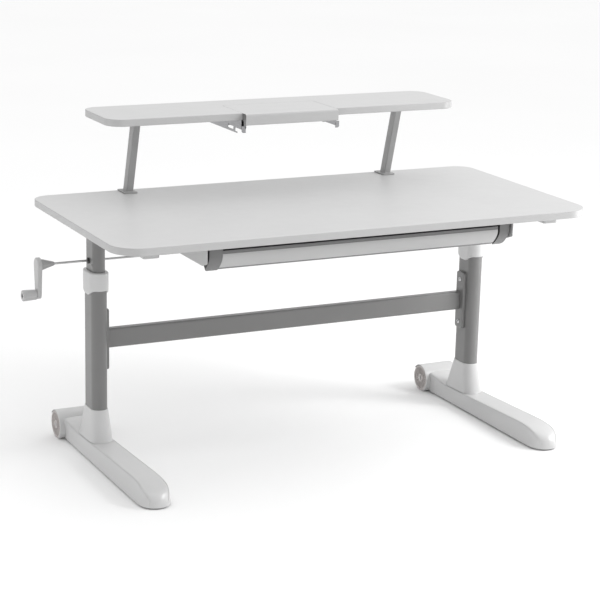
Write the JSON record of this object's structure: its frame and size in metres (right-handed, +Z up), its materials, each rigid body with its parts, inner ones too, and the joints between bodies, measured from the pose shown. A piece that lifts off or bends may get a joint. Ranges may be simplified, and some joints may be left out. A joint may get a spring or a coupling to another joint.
{
  "type": "height-adjustable desk",
  "caption": "Child's desk raised by a hand crank: worktop with a low rear shelf, pull-out shelf panel, shallow drawer, telescopic legs and wheeled feet.",
  "frame": {"origin": "on the floor, under the middle of the whole desk's bounding box with the crank's grip included", "axes": "+Z up, -Y towards the user's side of the desk, +X to the user's right"},
  "size_m": [1.2848, 0.6293, 0.79],
  "materials": {
    "white_board": "white satin laminate on particle board",
    "grey_paint": "mid-grey satin powder coat",
    "pale_paint": "pale grey satin powder coat",
    "pale_plastic": "pale grey moulded plastic, fine texture",
    "dark_plastic": "dark grey satin plastic",
    "steel": "bare turned or drawn steel",
    "zinc_steel": "zinc-plated steel",
    "brass": "machined brass",
    "glide_plastic": "soft grey plastic",
    "wheel_plastic": "grey moulded plastic, ribbed",
    "black_plastic": "black moulded plastic"
  },
  "bodies": {
    "base": {"foot_beam_left": "steel", "foot_cover_left": "pale_plastic", "front_glide_left": "glide_plastic", "leg_socket_left": "pale_plastic", "outer_leg_left": "grey_paint", "leg_collar_left": "pale_plastic", "wheel_axle_left": "steel", "nut_post_left": "steel", "lead_nut_left": "brass", "stretcher_plate_left": "grey_paint", "plate_bolt_left_lower": "zinc_steel", "plate_bolt_left_upper": "zinc_steel", "foot_beam_right": "steel", "foot_cover_right": "pale_plastic", "front_glide_right": "glide_plastic", "leg_socket_right": "pale_plastic", "outer_leg_right": "grey_paint", "leg_collar_right": "pale_plastic", "wheel_axle_right": "steel", "nut_post_right": "steel", "lead_nut_right": "brass", "stretcher_plate_right": "grey_paint", "plate_bolt_right_lower": "zinc_steel", "plate_bolt_right_upper": "zinc_steel", "stretcher_bar": "grey_paint"},
    "top_frame": {"worktop": "white_board", "shelf_board": "white_board", "drawer_case": "pale_paint", "inner_leg_left": "grey_paint", "support_arm_left": "pale_paint", "gearbox_left": "steel", "shelf_post_left": "grey_paint", "panel_rail_left": "zinc_steel", "rod_bush_left": "black_plastic", "inner_leg_right": "grey_paint", "support_arm_right": "pale_paint", "gearbox_right": "steel", "shelf_post_right": "grey_paint", "panel_rail_right": "zinc_steel", "rod_bush_right": "black_plastic"},
    "crank": {"cross_rod": "steel", "crank_arm": "pale_plastic", "grip_pin": "steel", "rod_bevel_left": "steel", "rod_bevel_right": "steel"},
    "grip": {"crank_grip": "pale_plastic"},
    "screw_left": {"lead_screw_left": "steel"},
    "screw_right": {"lead_screw_right": "steel"},
    "drawer": {"drawer_tray": "pale_plastic", "drawer_front": "dark_plastic", "drawer_insert": "pale_plastic", "drawer_cap_left": "dark_plastic", "drawer_cap_right": "dark_plastic"},
    "panel": {"panel_board": "white_board", "panel_runner_left": "zinc_steel", "panel_runner_right": "zinc_steel"},
    "wheel_left_inner": {"wheel_left_inner": "wheel_plastic"},
    "wheel_left_outer": {"wheel_left_outer": "wheel_plastic"},
    "wheel_right_inner": {"wheel_right_inner": "wheel_plastic"},
    "wheel_right_outer": {"wheel_right_outer": "wheel_plastic"}
  },
  "joints": [
    {"name": "lift", "type": "slide", "parent": "base", "child": "top_frame", "axis": [0, 0, 1], "range_m": [-0.012, 0.19]},
    {"name": "crank_turn", "type": "hinge", "parent": "top_frame", "child": "crank", "pos_m": [0.0424, 0.09575, 0.47], "axis": [1, 0, 0], "range_deg": [-540.5, 8550.5]},
    {"name": "grip_spin", "type": "hinge", "parent": "crank", "child": "grip", "pos_m": [-0.6256, 0.09575, 0.4005], "axis": [1, 0, 0], "continuous": true},
    {"name": "screw_left_turn", "type": "hinge", "parent": "top_frame", "child": "screw_left", "pos_m": [-0.4656, 0.09575, 0.3], "axis": [0, 0, 1], "range_deg": [-540.5, 8550.5]},
    {"name": "screw_right_turn", "type": "hinge", "parent": "top_frame", "child": "screw_right", "pos_m": [0.5504, 0.09575, 0.3], "axis": [0, 0, 1], "range_deg": [-540.5, 8550.5]},
    {"name": "drawer_slide", "type": "slide", "parent": "top_frame", "child": "drawer", "axis": [0, -1, 0], "range_m": [0, 0.24]},
    {"name": "panel_slide", "type": "slide", "parent": "top_frame", "child": "panel", "axis": [0, -1, 0], "range_m": [0, 0.1]},
    {"name": "wheel_left_inner_spin", "type": "hinge", "parent": "base", "child": "wheel_left_inner", "pos_m": [-0.4344, 0.23075, 0.034], "axis": [1, 0, 0], "continuous": true},
    {"name": "wheel_left_outer_spin", "type": "hinge", "parent": "base", "child": "wheel_left_outer", "pos_m": [-0.5118, 0.23075, 0.034], "axis": [1, 0, 0], "continuous": true},
    {"name": "wheel_right_inner_spin", "type": "hinge", "parent": "base", "child": "wheel_right_inner", "pos_m": [0.5042, 0.23075, 0.034], "axis": [1, 0, 0], "continuous": true},
    {"name": "wheel_right_outer_spin", "type": "hinge", "parent": "base", "child": "wheel_right_outer", "pos_m": [0.5816, 0.23075, 0.034], "axis": [1, 0, 0], "continuous": true}
  ],
  "couplings": [
    {"joint": "crank_turn", "follows": "lift", "rad_per_m": 785.4},
    {"joint": "screw_left_turn", "follows": "lift", "rad_per_m": 785.4},
    {"joint": "screw_right_turn", "follows": "lift", "rad_per_m": 785.4}
  ]
}
